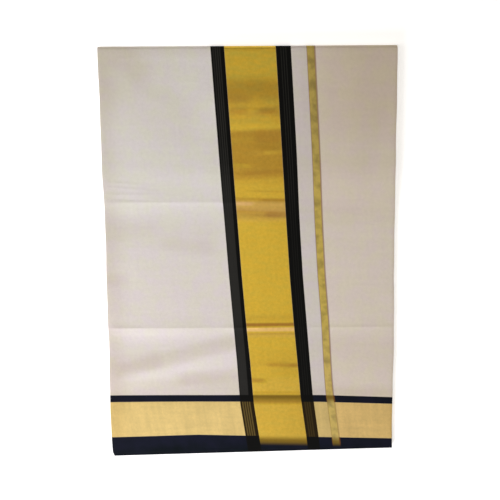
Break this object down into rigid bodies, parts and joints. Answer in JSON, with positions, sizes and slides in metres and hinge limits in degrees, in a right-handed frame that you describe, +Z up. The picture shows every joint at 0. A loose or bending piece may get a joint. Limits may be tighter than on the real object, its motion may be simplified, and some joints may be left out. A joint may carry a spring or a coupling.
{
  "type": "folded saree",
  "caption": "Woven cotton saree folded into a flat pad, with a gold and black banded end-piece in front and navy and gold woven edges.",
  "frame": {"origin": "centre of the footprint, on the surface that the folded cloth lies on", "axes": "+X along the length of the cloth, to the viewer's right; +Y across its width, from the shown woven edge towards the turned upper edge; +Z up, out of the front panel"},
  "size_m": [0.6409, 0.9102, 0.0165],
  "materials": {
    "front_cloth": "plain-woven unbleached cotton with woven gold, black and navy bands, soft sheen on the gold",
    "folded_cloth": "plain-woven unbleached cotton with navy and gold woven edges"
  },
  "bodies": {
    "root": {"front_panel": "front_cloth", "turned_back_panel": "front_cloth", "folded_panels": "folded_cloth"}
  },
  "joints": []
}
